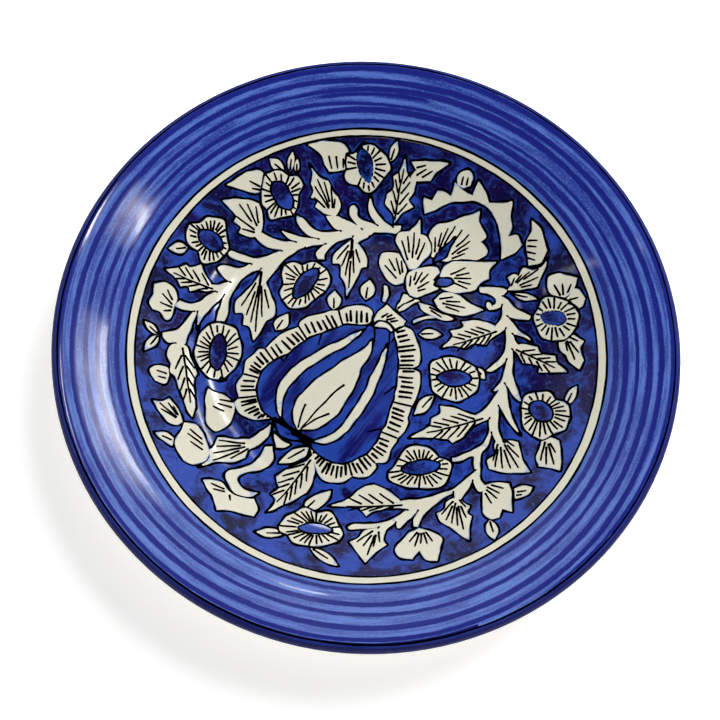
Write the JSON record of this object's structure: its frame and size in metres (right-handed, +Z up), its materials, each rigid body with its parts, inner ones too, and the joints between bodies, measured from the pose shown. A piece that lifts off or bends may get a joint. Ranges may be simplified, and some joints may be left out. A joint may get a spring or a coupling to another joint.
{
  "type": "hand painted ceramic plate",
  "caption": "Round glazed serving plate with a sloping blue banded rim and a shallow well painted with a fruit, flowers and vines, on a turned foot ring.",
  "frame": {"origin": "on the plate's axis, at the level of the foot ring's flat bottom", "axes": "+Z up along the plate's axis; the painted fruit's tip points towards +X +Y"},
  "size_m": [0.27, 0.27, 0.039],
  "materials": {
    "bare_clay": "fired matt buff clay, unglazed foot",
    "cream_slip": "white slip under the glaze",
    "cream_glaze": "glossy clear glaze over cream slip",
    "back_glaze": "glossy clear glaze over cream slip",
    "blue_wash": "glossy, thin brushed blue wash with fine grain",
    "navy_stroke": "glossy, banded cobalt brush strokes",
    "navy_edge": "glossy, thick cobalt on the lip",
    "brown_line": "glossy, manganese brown line",
    "black_ink": "glossy, hand drawn black line",
    "cobalt_ground": "glossy, brushed cobalt with light and dark pools"
  },
  "bodies": {
    "root": {"clay_body": "bare_clay", "foot_ring": "bare_clay", "face_slip": "cream_slip", "back_slip": "cream_slip", "foot_well_slip": "cream_slip", "lip_glaze": "navy_edge", "back_glaze": "back_glaze", "foot_well_glaze": "back_glaze", "rim_wash": "blue_wash", "rim_stripe_1": "navy_stroke", "rim_stripe_2": "navy_stroke", "rim_stripe_3": "navy_stroke", "rim_stripe_4": "navy_stroke", "rim_stripe_5": "navy_stroke", "rim_stripe_6": "navy_stroke", "lip_line": "brown_line", "band_line_outer": "black_ink", "cream_band": "cream_glaze", "band_line_inner": "black_ink", "well_cobalt": "cobalt_ground", "fruit_border": "cream_glaze", "fruit_crescents": "cream_glaze", "vines": "cream_glaze", "leaves": "cream_glaze", "flowers": "cream_glaze", "crown_flower": "cream_glaze", "flower_ink": "black_ink"}
  },
  "joints": []
}
